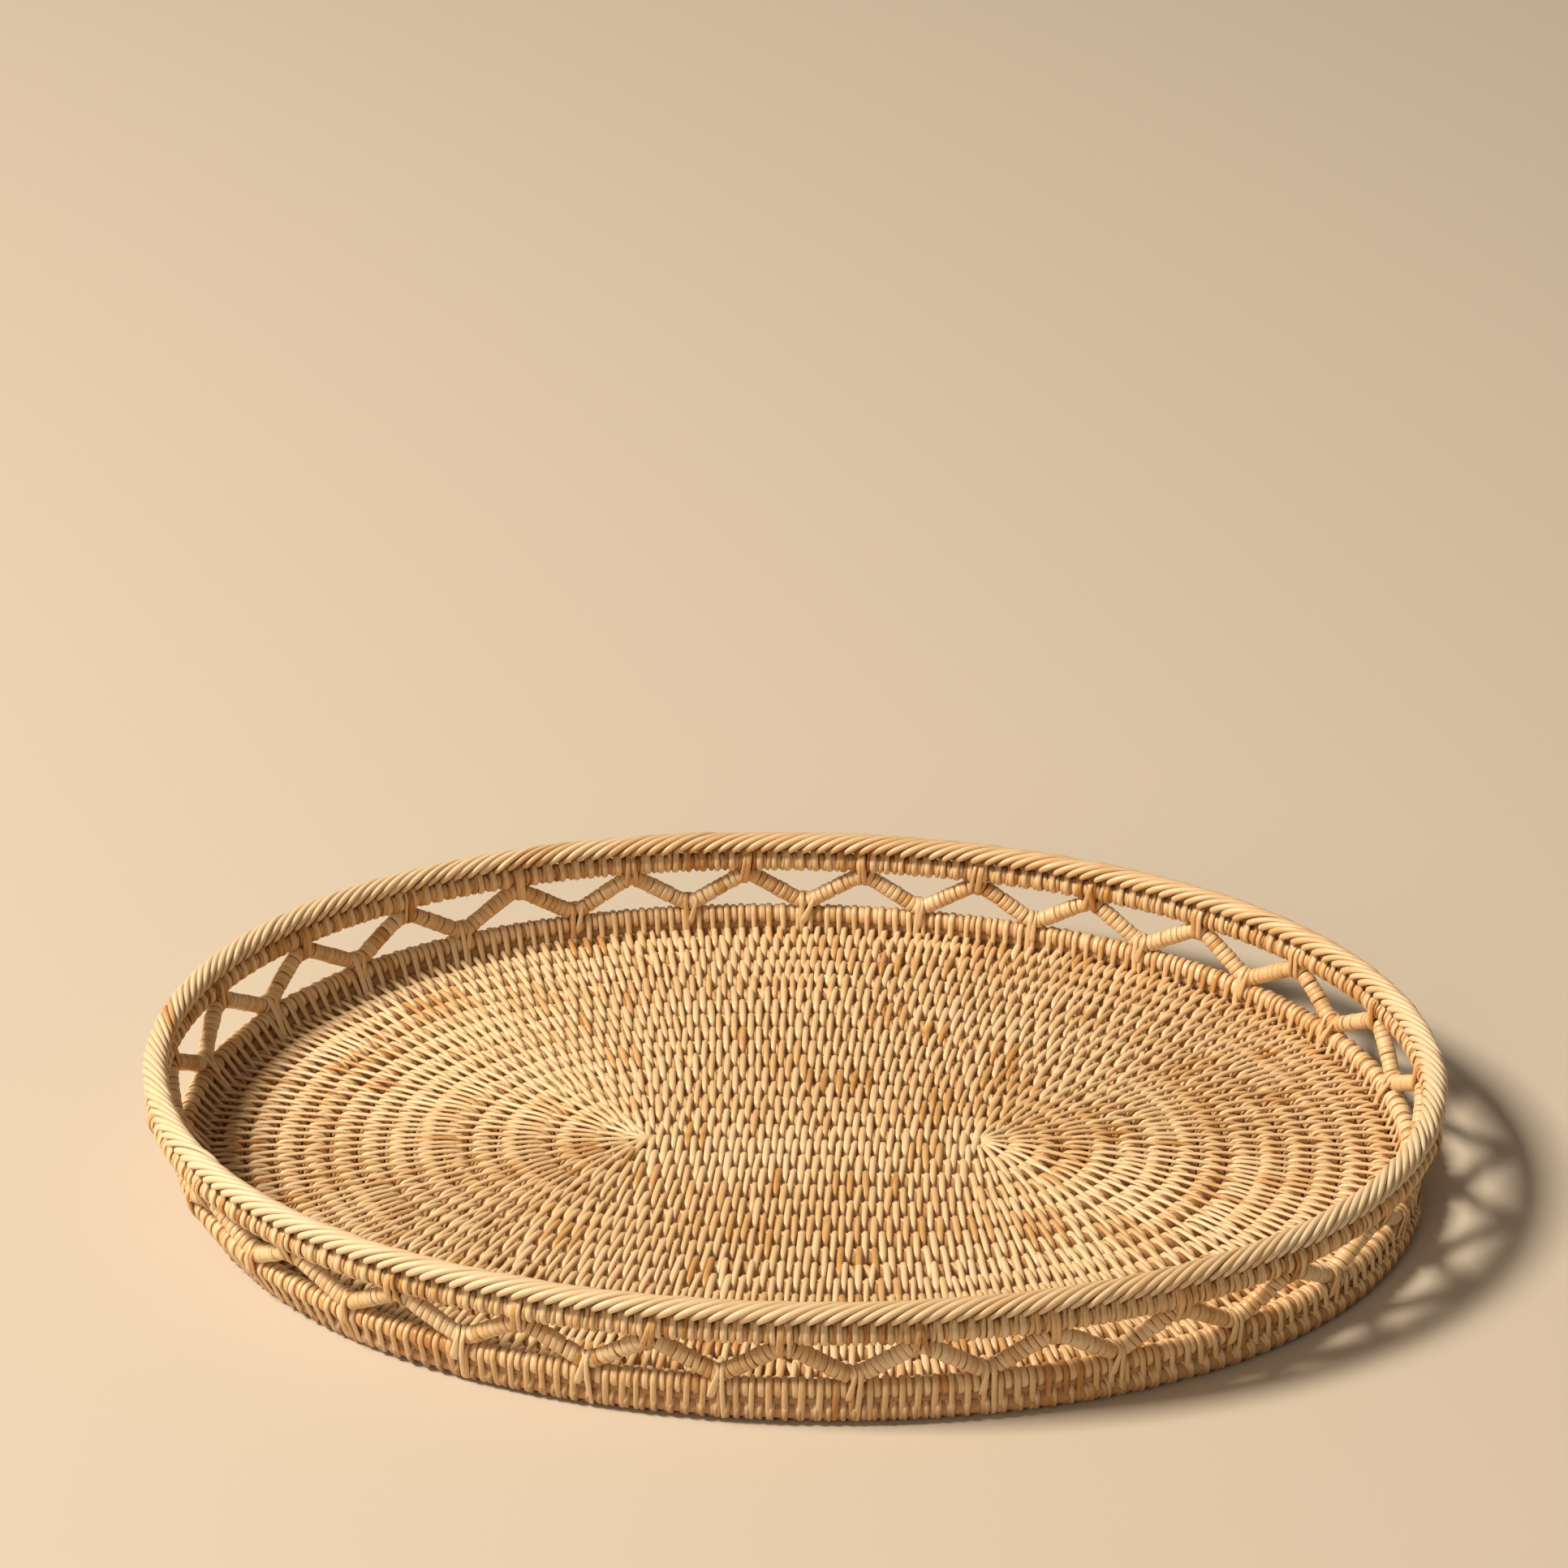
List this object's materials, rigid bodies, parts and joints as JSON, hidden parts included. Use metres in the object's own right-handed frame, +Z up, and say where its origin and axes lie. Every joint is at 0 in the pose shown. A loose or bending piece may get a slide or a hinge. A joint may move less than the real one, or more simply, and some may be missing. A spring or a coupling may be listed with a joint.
{
  "type": "winnowing basket",
  "caption": "Oval coiled cane tray with a flat floor and a low openwork wall under a lashed rim, for tossing grain in the wind.",
  "frame": {"origin": "centre of the basket's bounding box, on the plane its floor rests on", "axes": "+X along the long way of the oval, +Y across it, +Z up from the floor towards the rim"},
  "size_m": [0.4501, 0.3226, 0.0451],
  "materials": {
    "straw_strip": "pale split cane strip, satin",
    "honey_strip": "honey-brown split cane strip, satin",
    "core_cane": "bare round cane, matt"
  },
  "bodies": {
    "root": {"floor_coil_1": "straw_strip", "floor_coil_2": "straw_strip", "floor_coil_3": "straw_strip", "floor_coil_4": "straw_strip", "floor_coil_5": "straw_strip", "zigzag_cane_1": "straw_strip", "zigzag_cane_2": "straw_strip", "zigzag_cane_3": "straw_strip", "zigzag_cane_4": "straw_strip", "rim_lashing_1": "straw_strip", "rim_lashing_2": "straw_strip", "rim_lashing_3": "straw_strip", "rim_lashing_4": "straw_strip", "bottom_tie_01": "honey_strip", "bottom_tie_02": "honey_strip", "bottom_tie_03": "honey_strip", "bottom_tie_04": "honey_strip", "bottom_tie_05": "honey_strip", "bottom_tie_06": "honey_strip", "bottom_tie_07": "honey_strip", "bottom_tie_08": "honey_strip", "bottom_tie_09": "honey_strip", "bottom_tie_10": "honey_strip", "bottom_tie_11": "honey_strip", "bottom_tie_12": "honey_strip", "bottom_tie_13": "honey_strip", "bottom_tie_14": "honey_strip", "bottom_tie_15": "honey_strip", "bottom_tie_16": "honey_strip", "bottom_tie_17": "honey_strip", "bottom_tie_18": "honey_strip", "bottom_tie_19": "honey_strip", "bottom_tie_20": "honey_strip", "bottom_tie_21": "honey_strip", "bottom_tie_22": "honey_strip", "bottom_tie_23": "honey_strip", "bottom_tie_24": "honey_strip", "bottom_tie_25": "honey_strip", "bottom_tie_26": "honey_strip", "bottom_tie_27": "honey_strip", "edge_coil": "honey_strip", "top_hoop": "honey_strip", "rim_cane_inner": "core_cane", "rim_cane_outer": "core_cane"}
  },
  "joints": []
}
